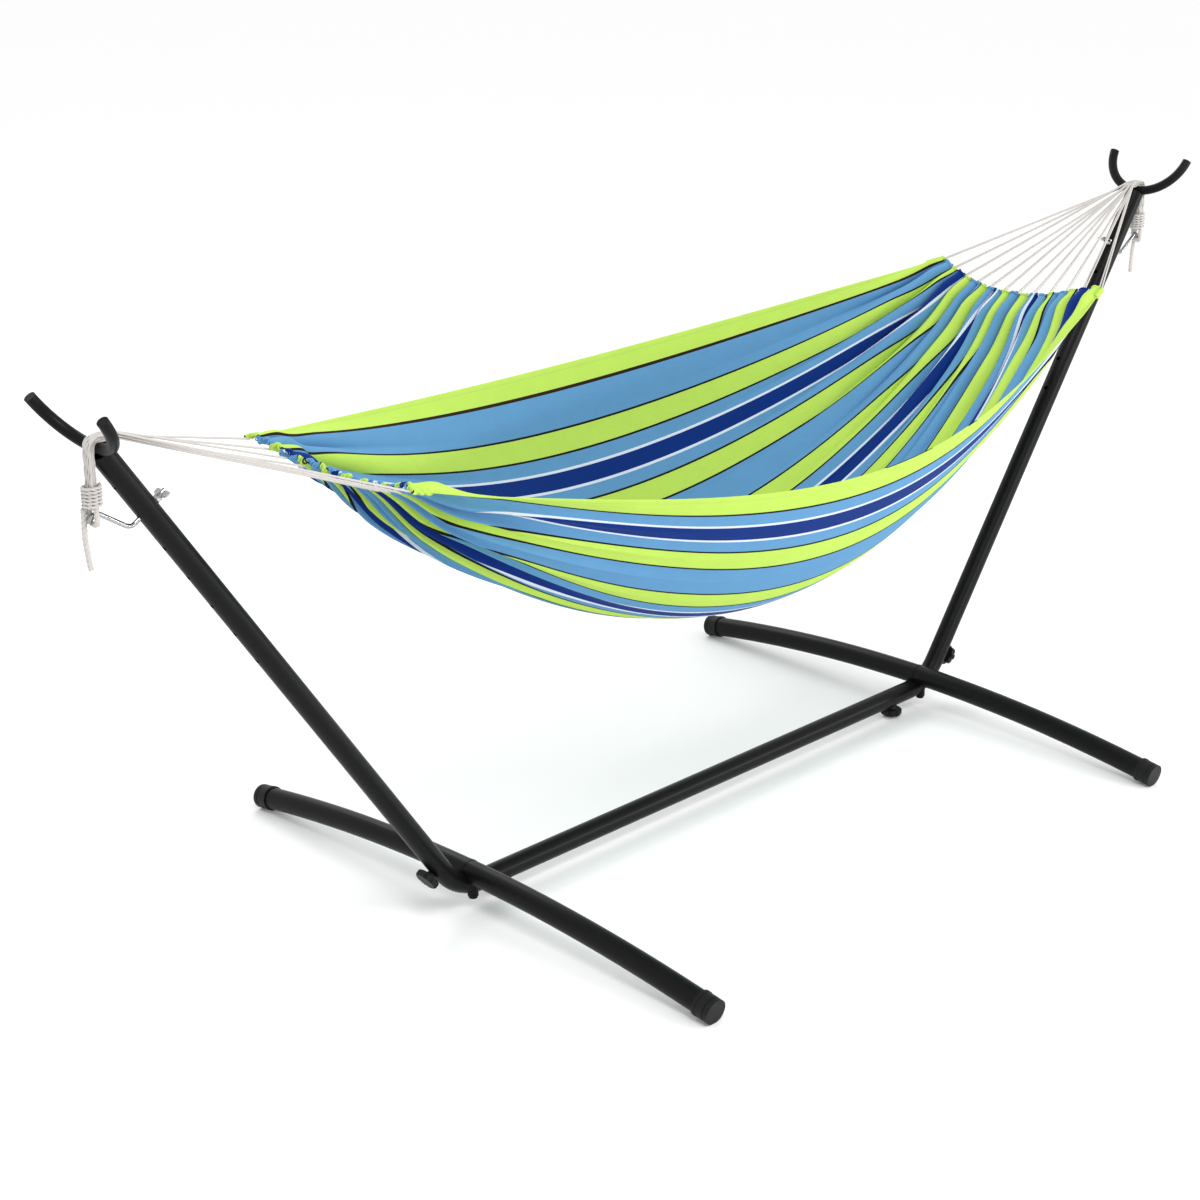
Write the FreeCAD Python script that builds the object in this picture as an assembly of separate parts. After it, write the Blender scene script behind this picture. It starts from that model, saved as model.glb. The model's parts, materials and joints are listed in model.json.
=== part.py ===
"""Hammock on a steel stand.

Frame: +X along the hammock, +Y across it, +Z up. The origin is on the floor, at the middle of
the stand. The near end is at -X and the far end at +X. All sizes are in millimetres.
"""
import FreeCAD, Part
import math
import os

from FreeCAD import Vector

# ---- Stand: driving dimensions --------------------------------------------------------------
LEG_SPACING = 1293.0  # between the upright planes of the two legs
STAND_WIDTH = 1190.0  # over the end caps of a leg
LEG_ARC_RADIUS = 3675.0  # centreline of an arched leg
LEG_TUBE_D = 42.0
LEG_WALL = 1.5
LEG_STUB_LENGTH = 60.0  # part of the left half that slides into the right half
LEG_RIM_LENGTH = 4.0  # rolled rim at the mouth of the right half
LEG_RIM_HEIGHT = 0.8
CAP_WALL = 2.0
CAP_LENGTH = 34.0
CAP_FLOOR = 4.0
CAP_BAND_LENGTH = 6.0
CAP_BAND_HEIGHT = 0.8
CAP_GROOVE_SETBACK = 11.0
CAP_GROOVE_LENGTH = 2.0
CAP_GROOVE_DEPTH = 0.9
CAP_FOOT_FLAT = 0.6  # depth of the flat that a cap stands on

TUBE_D = 38.0  # beam, bends and arms
TUBE_WALL = 1.5
SADDLE_DEPTH = 12.5  # how far the bend nests into the coped underside of the leg
CORNER_OFFSET = 27.5  # corner of beam and arm axes, outboard of the leg plane
ARM_ANGLE = 54.8  # degrees above the floor
ARM_REACH = 1180.0  # from that corner to the axis of the saddle hook
BEND_RADIUS = 110.0
BEAM_SEAM = 87.0  # from the corner to the joint with the beam
ARM_SEAM = 62.0  # from the corner to the joint with the arm
STUB_LENGTH = 60.0  # swaged end of a bend inside beam or arm
STUB_NECK = 10.0  # full-section neck behind a swaged end
SLIP_CLEARANCE = 0.2  # radial, between a swaged end and the tube over it

HOOK_D = 19.0
HOOK_RADIUS = 92.0  # centreline of the saddle hook's half circle
HOOK_SWEEP = 85.0  # degrees to either side of the arm
HOOK_WELD = 3.0  # how far the arm's end is coped by the hook

# ---- Fasteners ------------------------------------------------------------------------------
SCREW_D = 8.0
SCREW_HOLE_D = 9.0
THREAD_CLEARANCE = 0.05  # radial, screw in its nut
NUT_FLATS = 13.0
NUT_HEIGHT = 6.5
LEG_NUT_HEIGHT = 7.5
JAM_NUT_HEIGHT = 5.0
BODY_GAP = 0.3  # between bodies that move past each other

HOLE_COUNT = 7  # row of holes for the rope hook
HOLE_PITCH = 70.0
HOLE_SETBACK = 68.0  # from the saddle hook's axis to the first hole
HOOK_HOLE_INDEX = 1  # hole that holds the rope hook, counted from the top

BEAM_KNOB_REACH = 112.0  # from the corner
ARM_KNOB_REACH = 78.0
KNOB_D = 44.0
KNOB_HEIGHT = 12.5
KNOB_LOBES = 8
KNOB_LOBE_R = 6.0
KNOB_EDGE = 2.5
KNOB_HUB_D = 19.0
KNOB_HUB_HEIGHT = 5.5
HUB_TAPER = 2.0  # off the radius at the thin end of a knob's or a wing nut's hub
KNOB_SCREW_ENGAGEMENT = 8.0  # from the screw's tip to the tube's axis

LEG_BOLT_SHIFT = -10.0  # across the stand, into the lap of the two leg halves
BOLT_HEAD_D = 16.0
BOLT_HEAD_HEIGHT = 4.5
BOLT_TIP_SETBACK = 2.0  # below the top of its nut
SADDLE_WASHER_D = 20.0
SADDLE_WASHER_T = 5.2  # holds the bolt's head clear of the rising bend

ROD_D = 8.0  # rope hook, threaded at its inner end
ROD_TAIL = 22.0  # thread that stands out of the arm
ROD_OUT = 19.0  # straight stretch outside the arm, to the first bend's corner
ROD_BEND_R = 18.0
ROD_TIP_R = 9.0
ROD_RISE = 9.0  # crest corner above the rope eye's seat
ROD_CREST_SETBACK = 4.0  # crest corner inboard of the rope eye
ROD_TIP_RUN = 14.0
ROD_TIP_DROP = 14.0
WING_HUB_D = 14.0
WING_HUB_HEIGHT = 8.0
WING_SPAN = 32.0
WING_HEIGHT = 15.0
WING_T = 2.6
WING_ROOT = 3.0  # inner and lower edge of a wing, from the nut's axis and seat
WING_TIP_R = 5.5

# ---- Rope -----------------------------------------------------------------------------------
CORD_COUNT = 12  # doubled cords at each end
CORD_D = 4.2
CORD_PITCH = 1.65  # sideways step from cord to cord where they gather
ROW_PITCH = 4.1  # between the three rows of the gathered cords
ROWS = 3
ROPE_BED = 0.3  # how deep the rope is pressed onto the saddle hook
LEAD_LENGTH = 26.0  # gathered rope from the hook's crown to the fan
FAN_GAP = 1.6  # between the fixed rope and the swinging cords
WHIP_TOP_DROP = 51.0  # below the saddle hook's axis
WHIP_HEIGHT = 38.0
WHIP_D = 34.0
EYE_ROPE_D = 9.0
EYE_RADIUS = 9.5
EYE_DROP = 15.0  # from the whipping to the centre of the eye's round
TAIL_D = 8.0
# Route of the loose tail: outboard, across and down from the foot of the whipping.
TAIL_ROUTE = ((10.0, 9.5, 0.0), (10.0, 9.5, 16.0), (9.0, 12.5, 45.0), (6.0, 12.0, 75.0), (3.6, 10.6, 97.0))

# ---- Hammock bed ----------------------------------------------------------------------------
EDGE_REACH, EDGE_DROP = 395.0, 133.0  # from the fan's root to a bed corner
MID_REACH, MID_DROP = 431.0, 172.0  # from the fan's root to the middle of the gathered end
GATHER_HALF_WIDTH = 205.0
LEFT_EDGE_Y, LEFT_EDGE_SAG = 404.0, 222.0  # middle of the +Y edge, sag below the fan's root
RIGHT_EDGE_Y, RIGHT_EDGE_SAG = -382.0, 268.0
KEEL_Y, KEEL_SAG = -11.0, 598.0
EDGE_TAUTNESS = 1.5  # 0 is a parabola, more is straighter towards the ends
KEEL_FULLNESS = 0.6  # added to the section's square law at mid length
BED_THICKNESS = 4.0
BAND_D = 10.0
BED_STATIONS = 17
BED_RIBS = 13

# ---- Derived sizes --------------------------------------------------------------------------
TUBE_R = TUBE_D / 2
TUBE_BORE = TUBE_D - 2 * TUBE_WALL
STUB_D = TUBE_BORE - 2 * SLIP_CLEARANCE
STUB_BORE = STUB_D - 2 * TUBE_WALL
LEG_BORE = LEG_TUBE_D - 2 * LEG_WALL
LEG_STUB_D = LEG_BORE - 2 * SLIP_CLEARANCE
LEG_STUB_BORE = LEG_STUB_D - 2 * LEG_WALL
CAP_D = LEG_TUBE_D + 2 * CAP_WALL
LEG_X = LEG_SPACING / 2
LEG_HALF_ANGLE = math.asin(STAND_WIDTH / 2 / (LEG_ARC_RADIUS + CAP_D / 2))
LEG_HALF_LENGTH = LEG_ARC_RADIUS * LEG_HALF_ANGLE
LEG_MID_Z = LEG_ARC_RADIUS - (LEG_ARC_RADIUS - CAP_D / 2) * math.cos(LEG_HALF_ANGLE) - CAP_FOOT_FLAT
BEAM_Z = LEG_MID_Z - (LEG_TUBE_D / 2 + TUBE_R - SADDLE_DEPTH)
CORNER_X = LEG_X + CORNER_OFFSET
HOOK_HOLE_REACH = ARM_REACH - HOLE_SETBACK - HOOK_HOLE_INDEX * HOLE_PITCH

ROPE_WIDTH = (CORD_COUNT - 1) * CORD_PITCH + CORD_D
ROPE_THICKNESS = (ROWS - 1) * ROW_PITCH + CORD_D
ROPE_TURN_R = HOOK_D / 2 + ROPE_THICKNESS / 2 - ROPE_BED

X_AXIS = Vector(1, 0, 0)
Y_AXIS = Vector(0, 1, 0)
Z_AXIS = Vector(0, 0, 1)
ENDS = (("near", -1), ("far", 1))


# ---- Geometry helpers -----------------------------------------------------------------------
def corner(side):
    """Corner of the beam's axis and an arm's axis."""
    return Vector(side * CORNER_X, 0, BEAM_Z)


def arm_direction(side):
    angle = math.radians(ARM_ANGLE)
    return Vector(side * math.cos(angle), 0, math.sin(angle))


def arm_inner(side):
    """Unit vector square to an arm, towards the bed."""
    angle = math.radians(ARM_ANGLE)
    return Vector(-side * math.sin(angle), 0, math.cos(angle))


def on_arm(side, reach, inward=0.0, across=0.0):
    """Point at a reach along an arm's axis, set off towards the bed and across."""
    return corner(side) + arm_direction(side) * reach + arm_inner(side) * inward + Y_AXIS * across


def rod(start, stop, diameter):
    """Straight round bar between two points."""
    run = stop - start
    return Part.makeCylinder(diameter / 2, run.Length, start, run)


def route_wire(points, radii):
    """Straight runs joined by tangent arcs, one radius for each inner point."""
    edges = []
    last = points[0]
    for before, here, after, radius in zip(points, points[1:], points[2:], radii):
        back = (before - here).normalize()
        ahead = (after - here).normalize()
        half = back.getAngle(ahead) / 2
        setback = radius / math.tan(half)
        middle = (back + ahead).normalize()
        start = here + back * setback
        stop = here + ahead * setback
        crown = here + middle * (radius / math.sin(half) - radius)
        edges.append(Part.LineSegment(last, start).toShape())
        edges.append(Part.Arc(start, crown, stop).toShape())
        last = stop
    edges.append(Part.LineSegment(last, points[-1]).toShape())
    return Part.Wire(edges)


def bar_along(wire, diameter):
    """Round bar swept along a wire of lines and arcs."""
    first = wire.Edges[0]
    start = first.valueAt(first.FirstParameter)
    heading = first.tangentAt(first.FirstParameter)
    ring = Part.Wire(Part.makeCircle(diameter / 2, start, heading))
    return wire.makePipeShell([ring], True, False)


def largest_radii(points):
    """Arc radius at each inner point: 0.45 of the shorter run over the tangent of half the turn."""
    radii = []
    for before, here, after in zip(points, points[1:], points[2:]):
        back = before - here
        ahead = after - here
        turn = math.pi - back.getAngle(ahead)
        radii.append(0.45 * min(back.Length, ahead.Length) / math.tan(turn / 2))
    return radii


def leg_bar(side, diameter, start, stop):
    """Round bar along a leg's arc, between two arc lengths from its middle, +Y positive."""
    centre = Vector(side * LEG_X, 0, LEG_MID_Z - LEG_ARC_RADIUS)
    middle = Vector(side * LEG_X, 0, LEG_MID_Z)
    face = Part.Face(Part.Wire(Part.makeCircle(diameter / 2, middle, Y_AXIS)))
    face.rotate(centre, X_AXIS, -math.degrees(start / LEG_ARC_RADIUS))
    return face.revolve(centre, X_AXIS, -math.degrees((stop - start) / LEG_ARC_RADIUS))


def hexagon_prism(base, axis, flats, height):
    """Hexagonal prism that stands on a base point along an axis."""
    corner_radius = flats / 2 / math.cos(math.pi / 6)
    points = []
    for index in range(6):
        angle = math.radians(60 * index)
        points.append(Vector(corner_radius * math.cos(angle), corner_radius * math.sin(angle), 0))
    face = Part.Face(Part.makePolygon(points + points[:1]))
    prism = face.extrude(Z_AXIS * height)
    prism.Placement = FreeCAD.Placement(base, FreeCAD.Rotation(Z_AXIS, axis))
    return prism


def hexagon_nut(base, axis, height):
    """Nut bored to run on a screw."""
    blank = hexagon_prism(base, axis, NUT_FLATS, height)
    bore_d = SCREW_D + 2 * THREAD_CLEARANCE
    return blank.cut(rod(base - axis * height, base + axis * 2 * height, bore_d))


def stadium(centre, wide, thick, width, thickness):
    """Flat-sided face with round ends."""
    round_r = thickness / 2
    flat = width / 2 - round_r
    low_a = centre - wide * flat - thick * round_r
    low_b = centre + wide * flat - thick * round_r
    high_b = centre + wide * flat + thick * round_r
    high_a = centre - wide * flat + thick * round_r
    edges = [
        Part.LineSegment(low_a, low_b).toShape(),
        Part.Arc(low_b, centre + wide * (width / 2), high_b).toShape(),
        Part.LineSegment(high_b, high_a).toShape(),
        Part.Arc(high_a, centre - wide * (width / 2), low_a).toShape(),
    ]
    return Part.Face(Part.Wire(edges))


# ---- Stand tubes ----------------------------------------------------------------------------
def bend_outer(side):
    """Outside of the full-section bend, between the beam's joint and the arm's."""
    beam_end = corner(side) - X_AXIS * side * BEAM_SEAM
    return bar_along(route_wire([beam_end, corner(side), on_arm(side, ARM_SEAM)], [BEND_RADIUS]), TUBE_D)


def beam_knob_foot(side):
    """Point on the beam's axis over a beam knob."""
    return corner(side) - X_AXIS * side * BEAM_KNOB_REACH


def leg_bolt_axis_point(side):
    return Vector(side * LEG_X, LEG_BOLT_SHIFT, 0)


def make_bend(side):
    inward = X_AXIS * -side
    beam_end = corner(side) + inward * BEAM_SEAM
    arm_end = on_arm(side, ARM_SEAM)
    stub_beam = beam_end + inward * STUB_LENGTH
    stub_arm = on_arm(side, ARM_SEAM + STUB_LENGTH)
    neck_beam = beam_end - inward * STUB_NECK
    neck_arm = on_arm(side, ARM_SEAM - STUB_NECK / 2)
    body = bend_outer(side)
    body = body.fuse([rod(stub_beam, beam_end, STUB_D), rod(arm_end, stub_arm, STUB_D)])
    bore_route = [stub_beam, corner(side), stub_arm]
    body = body.cut(bar_along(route_wire(bore_route, [BEND_RADIUS]), STUB_BORE))
    body = body.cut(bar_along(route_wire([neck_beam, corner(side), neck_arm], [BEND_RADIUS]), TUBE_BORE))
    foot = beam_knob_foot(side)
    body = body.cut(rod(foot, foot - Z_AXIS * TUBE_D, SCREW_HOLE_D))
    body = body.cut(rod(on_arm(side, ARM_KNOB_REACH), on_arm(side, ARM_KNOB_REACH, -TUBE_D), SCREW_HOLE_D))
    base = leg_bolt_axis_point(side)
    return body.cut(rod(base, base + Z_AXIS * (BEAM_Z + TUBE_D), SCREW_HOLE_D))


def make_beam():
    end = CORNER_X - BEAM_SEAM
    beam = rod(Vector(-end, 0, BEAM_Z), Vector(end, 0, BEAM_Z), TUBE_D)
    beam = beam.cut(rod(Vector(-end, 0, BEAM_Z), Vector(end, 0, BEAM_Z), TUBE_BORE))
    for _, side in ENDS:
        foot = beam_knob_foot(side)
        beam = beam.cut(rod(foot, foot - Z_AXIS * TUBE_D, SCREW_HOLE_D))
    return beam


def make_saddle_hook(side):
    sweep = math.radians(HOOK_SWEEP)
    reach = ARM_REACH + HOOK_RADIUS * (1 - math.cos(sweep))
    tips = [on_arm(side, reach, 0, hand * HOOK_RADIUS * math.sin(sweep)) for hand in (-1, 1)]
    arc = Part.Arc(tips[0], on_arm(side, ARM_REACH), tips[1]).toShape()
    return bar_along(Part.Wire([arc]), HOOK_D)


def make_arm(side, hook):
    foot = on_arm(side, ARM_SEAM)
    top = on_arm(side, ARM_REACH - HOOK_D / 2 + HOOK_WELD)
    arm = rod(foot, top, TUBE_D).cut(rod(foot, top, TUBE_BORE))
    for index in range(HOLE_COUNT):
        reach = ARM_REACH - HOLE_SETBACK - index * HOLE_PITCH
        arm = arm.cut(rod(on_arm(side, reach, -TUBE_D), on_arm(side, reach, TUBE_D), SCREW_HOLE_D))
    knob = rod(on_arm(side, ARM_KNOB_REACH), on_arm(side, ARM_KNOB_REACH, -TUBE_D), SCREW_HOLE_D)
    axis = on_arm(side, ARM_REACH)
    reach = HOOK_D / 2 - ROPE_BED - BODY_GAP
    rope_side = Part.makeBox(TUBE_D, TUBE_D, TUBE_D, Vector(reach, -TUBE_R, -TUBE_D))
    if side < 0:
        rope_side.rotate(Vector(), Z_AXIS, 180)
    rope_side.translate(axis)
    return arm.cut([knob, hook, rope_side])


def leg_bolt_hole(side):
    base = leg_bolt_axis_point(side)
    return rod(base, base + Z_AXIS * (LEG_MID_Z + LEG_STUB_BORE / 2), SCREW_HOLE_D)


def for_side(near_shape, side):
    """The near end's shape, or its mirror image for the far end."""
    return near_shape if side < 0 else near_shape.mirror(Vector(), X_AXIS)


def make_near_left_leg():
    """The +Y half, with the reduced end that slides into the right half."""
    side = -1
    end = LEG_HALF_LENGTH - CAP_FLOOR
    leg = leg_bar(side, LEG_TUBE_D, 0, end).fuse(leg_bar(side, LEG_STUB_D, -LEG_STUB_LENGTH, 0))
    leg = leg.cut(leg_bar(side, LEG_STUB_BORE, -LEG_STUB_LENGTH, end))
    leg = leg.cut(leg_bar(side, LEG_BORE, STUB_NECK, end))
    return leg.cut([bend_outer(side), leg_bolt_hole(side)])


def make_near_right_leg():
    """The -Y half, with the rolled rim at its mouth."""
    side = -1
    end = LEG_HALF_LENGTH - CAP_FLOOR
    leg = leg_bar(side, LEG_TUBE_D, -end, 0)
    leg = leg.fuse(leg_bar(side, LEG_TUBE_D + 2 * LEG_RIM_HEIGHT, -LEG_RIM_LENGTH, 0))
    leg = leg.cut(leg_bar(side, LEG_BORE, -end, 0))
    return leg.cut([bend_outer(side), leg_bolt_hole(side)])


def make_cap(side, hand):
    """Closed plastic end cap over the end of a leg half."""
    def bar(diameter, back, front):
        stations = sorted((hand * (LEG_HALF_LENGTH - back), hand * (LEG_HALF_LENGTH - front)))
        return leg_bar(side, diameter, *stations)

    cap = bar(CAP_D, CAP_LENGTH, 0)
    cap = cap.fuse(bar(CAP_D + 2 * CAP_BAND_HEIGHT, CAP_LENGTH, CAP_LENGTH - CAP_BAND_LENGTH))
    back = CAP_GROOVE_SETBACK
    front = CAP_GROOVE_SETBACK - CAP_GROOVE_LENGTH
    groove = bar(CAP_D + 2 * CAP_WALL, back, front).cut(bar(CAP_D - 2 * CAP_GROOVE_DEPTH, back, front))
    below = Part.makeBox(2 * CAP_D, STAND_WIDTH * 2, CAP_D, Vector(side * LEG_X - CAP_D, -STAND_WIDTH, -CAP_D))
    return cap.cut([bar(LEG_TUBE_D, CAP_LENGTH, CAP_FLOOR), groove, below])


# ---- Fasteners ------------------------------------------------------------------------------
def make_knob(seat, axis):
    """Lobed hand knob with its screw. The seat is on the tube's axis, the knob's axis points out."""
    face_r = TUBE_R + BODY_GAP
    head_r = face_r + KNOB_HUB_HEIGHT
    core_r = KNOB_D / 2 - KNOB_LOBE_R
    blank = Part.makeCylinder(core_r + KNOB_LOBE_R / 3, KNOB_HEIGHT)
    lobes = []
    for index in range(KNOB_LOBES):
        angle = 2 * math.pi * index / KNOB_LOBES
        place = Vector(core_r * math.cos(angle), core_r * math.sin(angle), 0)
        lobes.append(Part.makeCylinder(KNOB_LOBE_R, KNOB_HEIGHT, place))
    outer = KNOB_D / 2
    rim = outer - KNOB_EDGE
    shoulder = KNOB_HEIGHT - KNOB_EDGE
    outline = [(0, 0), (rim, 0), (outer, KNOB_EDGE), (outer, shoulder), (rim, KNOB_HEIGHT), (0, KNOB_HEIGHT)]
    profile = Part.Face(Part.makePolygon([Vector(r, 0, z) for r, z in outline + outline[:1]]))
    head = blank.fuse(lobes).removeSplitter().common(profile.revolve(Vector(), Z_AXIS, 360))
    hub = Part.makeCone(KNOB_HUB_D / 2 - HUB_TAPER, KNOB_HUB_D / 2, KNOB_HUB_HEIGHT, Z_AXIS * -KNOB_HUB_HEIGHT)
    screw_length = head_r - KNOB_SCREW_ENGAGEMENT
    screw = Part.makeCylinder(SCREW_D / 2, screw_length, Z_AXIS * -screw_length)
    knob = head.fuse([hub, screw]).removeSplitter()
    knob.Placement = FreeCAD.Placement(seat + axis * head_r, FreeCAD.Rotation(Z_AXIS, axis))
    return knob


def make_knob_nut(seat, axis, along):
    """Weld nut inside a swaged end, shaped to its bore."""
    base = seat + axis * (STUB_BORE / 2 - NUT_HEIGHT)
    nut = hexagon_nut(base, axis, NUT_HEIGHT)
    return nut.common(rod(seat - along * NUT_FLATS, seat + along * NUT_FLATS, STUB_BORE))


def make_leg_fasteners(side):
    """Bolt from below, saddle washer under the bend and weld nut in the leg's reduced end."""
    base = leg_bolt_axis_point(side)
    shift = abs(LEG_BOLT_SHIFT)
    arc_centre = Vector(CORNER_X - BEND_RADIUS * math.tan(math.radians(ARM_ANGLE / 2)), 0, BEAM_Z + BEND_RADIUS)
    run = LEG_X - arc_centre.x
    axis_z = arc_centre.z - math.sqrt(BEND_RADIUS ** 2 - max(run, 0.0) ** 2)
    seat_z = axis_z - math.sqrt(TUBE_R ** 2 - shift ** 2)
    washer_low = seat_z - SADDLE_WASHER_T
    washer = Part.makeCylinder(SADDLE_WASHER_D / 2, axis_z - washer_low, base + Z_AXIS * washer_low)
    washer = washer.cut([bend_outer(side), rod(base, base + Z_AXIS * LEG_MID_Z, SCREW_HOLE_D)])
    washer = min(washer.Solids, key=lambda solid: solid.CenterOfMass.z)
    nut_top = LEG_MID_Z + LEG_STUB_BORE / 2
    nut = hexagon_nut(base + Z_AXIS * (nut_top - LEG_NUT_HEIGHT), Z_AXIS, LEG_NUT_HEIGHT)
    nut = nut.common(leg_bar(side, LEG_STUB_BORE, -LEG_STUB_LENGTH, 0))
    head = Part.makeCylinder(BOLT_HEAD_D / 2, BOLT_HEAD_HEIGHT, base + Z_AXIS * (washer_low - BOLT_HEAD_HEIGHT))
    shank = rod(base + Z_AXIS * washer_low, base + Z_AXIS * (nut_top - BOLT_TIP_SETBACK), SCREW_D)
    return head.fuse(shank).removeSplitter(), washer, nut


# ---- Rope hook on the arm -------------------------------------------------------------------
def saddle_axis(side):
    return on_arm(side, ARM_REACH)


def rope_down_x(side):
    """X of the rope's hanging stretch, outboard of the saddle hook."""
    return saddle_axis(side).x + side * ROPE_TURN_R


def whip_foot(side):
    return Vector(rope_down_x(side), 0, saddle_axis(side).z - WHIP_TOP_DROP - WHIP_HEIGHT)


def eye_seat(side):
    """Axis of the rod where it lies in the bottom of the rope eye."""
    foot = whip_foot(side)
    drop = EYE_DROP + EYE_RADIUS - EYE_ROPE_D / 2 - ROD_D / 2
    return foot - Z_AXIS * (drop - BODY_GAP)


def make_rope_hook(side):
    start = on_arm(side, HOOK_HOLE_REACH, TUBE_R + ROD_TAIL)
    dip = on_arm(side, HOOK_HOLE_REACH, -TUBE_R - ROD_OUT)
    crest = eye_seat(side) + Vector(-side * ROD_CREST_SETBACK, 0, ROD_RISE)
    tip = crest + Vector(side * ROD_TIP_RUN, 0, -ROD_TIP_DROP)
    return bar_along(route_wire([start, dip, crest, tip], [ROD_BEND_R, ROD_TIP_R]), ROD_D)


def make_jam_nut(side):
    return hexagon_nut(on_arm(side, HOOK_HOLE_REACH, TUBE_R), arm_inner(side), JAM_NUT_HEIGHT)


def make_wing_nut(side):
    """Wing nut on the rod's thread, its wings in line across the stand."""
    hub = Part.makeCone(WING_HUB_D / 2, WING_HUB_D / 2 - HUB_TAPER, WING_HUB_HEIGHT)
    tip_x = WING_SPAN / 2 - WING_TIP_R
    wing_low = Vector(WING_ROOT, -WING_T / 2, WING_ROOT)
    wing = Part.makeBox(WING_SPAN / 2 - WING_ROOT, WING_T, WING_HEIGHT - WING_ROOT, wing_low)
    tip_centre = Vector(tip_x, -WING_T / 2, WING_HEIGHT - WING_TIP_R)
    tip = Part.makeCylinder(WING_TIP_R, WING_T, tip_centre, Y_AXIS)
    slope = [Vector(WING_ROOT, -WING_T, WING_HEIGHT), Vector(tip_x - WING_TIP_R, -WING_T, WING_HEIGHT)]
    slope.append(Vector(WING_ROOT, -WING_T, WING_HUB_HEIGHT))
    wedge = Part.Face(Part.makePolygon(slope + slope[:1])).extrude(Y_AXIS * 2 * WING_T)
    corner_low = Vector(tip_x, -WING_T, -WING_TIP_R / 2)
    corner_cut = Part.makeBox(WING_TIP_R, 2 * WING_T, WING_HEIGHT, corner_low)
    one = wing.cut([wedge, corner_cut]).fuse(tip)
    other = one.copy()
    other.rotate(Vector(), Z_AXIS, 180)
    nut = hub.fuse([one, other]).removeSplitter()
    bore_d = SCREW_D + 2 * THREAD_CLEARANCE
    nut = nut.cut(Part.makeCylinder(bore_d / 2, 2 * WING_HEIGHT, Z_AXIS * -WING_HEIGHT / 2))
    base = on_arm(side, HOOK_HOLE_REACH, TUBE_R + JAM_NUT_HEIGHT + BODY_GAP)
    turn = FreeCAD.Rotation(Z_AXIS, arm_inner(side))
    nut.Placement = FreeCAD.Placement(base, turn.multiply(FreeCAD.Rotation(Z_AXIS, 90)))
    return nut


# ---- Rope over the saddle -------------------------------------------------------------------
def make_rope_bundle(side):
    """Gathered cords: level lead, quarter turn over the saddle hook, and hanging stretch."""
    axis = saddle_axis(side)
    crown = stadium(axis + Z_AXIS * ROPE_TURN_R, Y_AXIS, Z_AXIS, ROPE_WIDTH, ROPE_THICKNESS)
    lead = crown.extrude(X_AXIS * -side * LEAD_LENGTH)
    turn = crown.revolve(axis, Y_AXIS, side * 90)
    foot = whip_foot(side)
    hanging_face = stadium(foot, Y_AXIS, X_AXIS, ROPE_WIDTH, ROPE_THICKNESS)
    hanging = hanging_face.extrude(Z_AXIS * (axis.z - foot.z))
    return lead.fuse([turn, hanging]).removeSplitter()


def make_whipping(side, bundle):
    return Part.makeCylinder(WHIP_D / 2, WHIP_HEIGHT, whip_foot(side)).cut(bundle)


def make_eye(side):
    """Rope eye below the whipping: two legs joined by a half round."""
    foot = whip_foot(side)
    points = []
    for across in (-1, 1):
        points.append(foot + Y_AXIS * across * EYE_RADIUS)
        points.append(foot + Y_AXIS * across * EYE_RADIUS - Z_AXIS * EYE_DROP)
    low = foot - Z_AXIS * (EYE_DROP + EYE_RADIUS)
    edges = [
        Part.LineSegment(points[0], points[1]).toShape(),
        Part.Arc(points[1], low, points[3]).toShape(),
        Part.LineSegment(points[3], points[2]).toShape(),
    ]
    return bar_along(Part.Wire(edges), EYE_ROPE_D)


def make_tail(name, side):
    foot = whip_foot(side)
    points = [foot + Vector(side * out, across, -down) for out, across, down in TAIL_ROUTE]
    radii = largest_radii(points)
    wire = route_wire(points, radii)
    tail = bar_along(wire, TAIL_D)
    section = math.pi * TAIL_D ** 2 / 4
    print(name, "length", round(wire.Length, 1), "radii", [round(radius) for radius in radii],
          "volume ratio", round(tail.Volume / section / wire.Length, 3))
    return tail


# ---- Bed and fan of cords -------------------------------------------------------------------
def fan_root(side):
    """Centre of the gathered cords where the fan starts, on the swing axis."""
    axis = saddle_axis(side)
    return axis + Z_AXIS * ROPE_TURN_R - X_AXIS * side * (LEAD_LENGTH + FAN_GAP)


def gather_point(side, share):
    """Point of a gathered end, with share from -1 at the right corner to 1 at the left."""
    square = share * share
    reach = MID_REACH + (EDGE_REACH - MID_REACH) * square
    drop = MID_DROP + (EDGE_DROP - MID_DROP) * square
    return fan_root(side) + Vector(-side * reach, GATHER_HALF_WIDTH * share, -drop)


def make_band(side):
    """Rolled hem and loops along a gathered end."""
    arc = Part.Arc(gather_point(side, -1), gather_point(side, 0), gather_point(side, 1)).toShape()
    return bar_along(Part.Wire([arc]), BAND_D)


def make_cord(name, side, index, band):
    """One doubled cord, pulled straight from the gathered rope to the hem."""
    middle = (CORD_COUNT - 1) / 2
    row = index % ROWS - (ROWS - 1) / 2
    start = fan_root(side) + Vector(0, (index - middle) * CORD_PITCH, -row * ROW_PITCH)
    share = (index - middle) / middle * (1 - CORD_D / GATHER_HALF_WIDTH)
    stop = gather_point(side, share)
    cord = rod(start, stop, CORD_D).cut(band)
    print(name, "straight", round((stop - start).Length - BAND_D / 2, 1))
    return max(cord.Solids, key=lambda solid: solid.Volume)


def edge_rise(position):
    """Share of the mid-length sag of a side edge, 1 at the middle and 0 at the ends."""
    top = math.sqrt(1 + EDGE_TAUTNESS ** 2)
    return (top - math.sqrt(1 + (EDGE_TAUTNESS * position) ** 2)) / (top - 1)


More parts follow.
